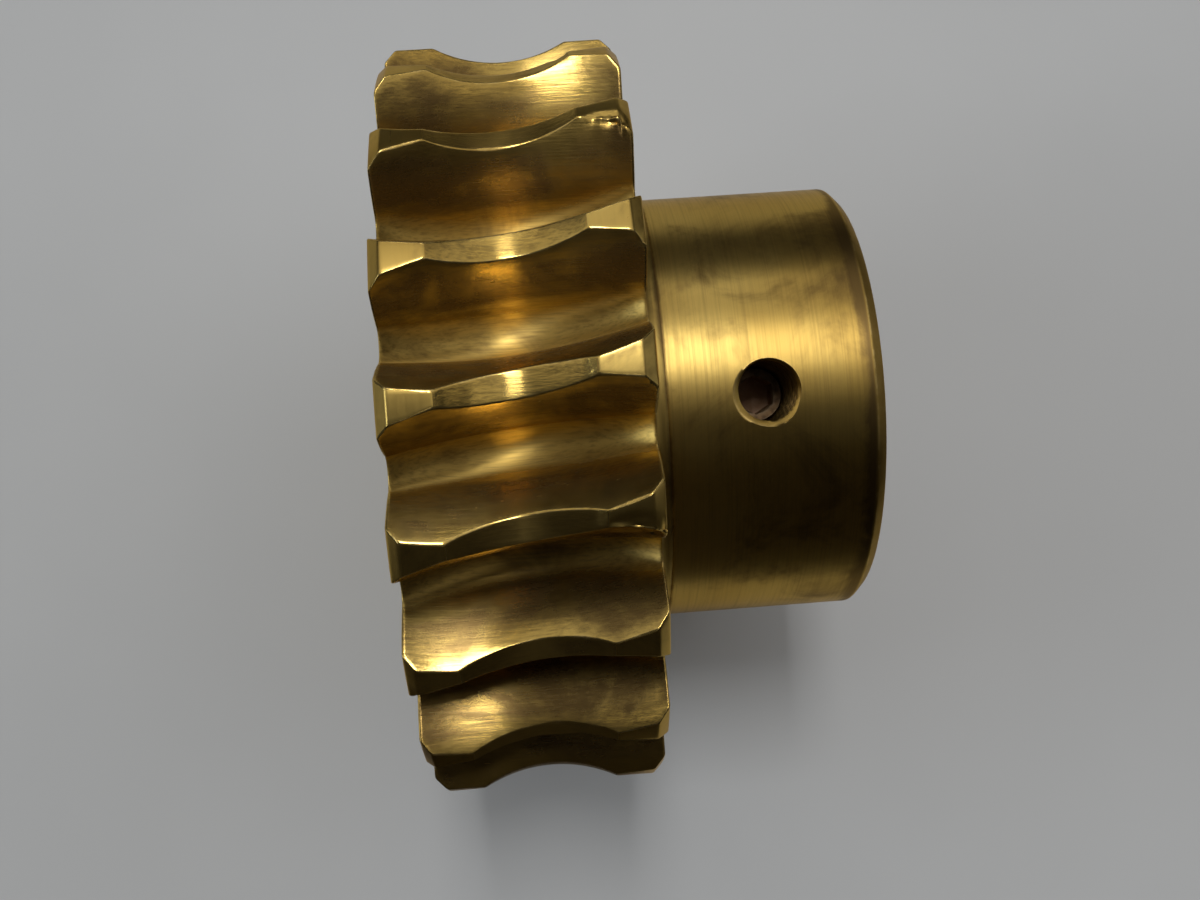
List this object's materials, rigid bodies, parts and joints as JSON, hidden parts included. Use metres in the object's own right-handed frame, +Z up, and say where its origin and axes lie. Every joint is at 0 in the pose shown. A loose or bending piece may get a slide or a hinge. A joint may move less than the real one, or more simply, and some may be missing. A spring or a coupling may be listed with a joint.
{
  "type": "worm wheel",
  "caption": "Throated worm wheel with left-hand teeth, a long boss on one side, a plain bore and a radial set screw that locks it to its shaft.",
  "frame": {"origin": "on the wheel's axis, in the middle plane of the teeth", "axes": "+Y along the axis, towards the boss; +Z up, with the wheel standing on two teeth; a tooth gap is centred on +Z"},
  "size_m": [0.0688, 0.04, 0.0688],
  "materials": {
    "bronze": "machined and slightly tarnished",
    "screw_steel": "dark oxide"
  },
  "bodies": {
    "wheel": {"worm_wheel": "bronze"},
    "screw": {"set_screw": "screw_steel"}
  },
  "joints": [
    {"name": "set_screw_travel", "type": "slide", "parent": "wheel", "child": "screw", "axis": [0.1857, 0, 0.9826], "range_m": [-0.001, 0.0105]}
  ]
}
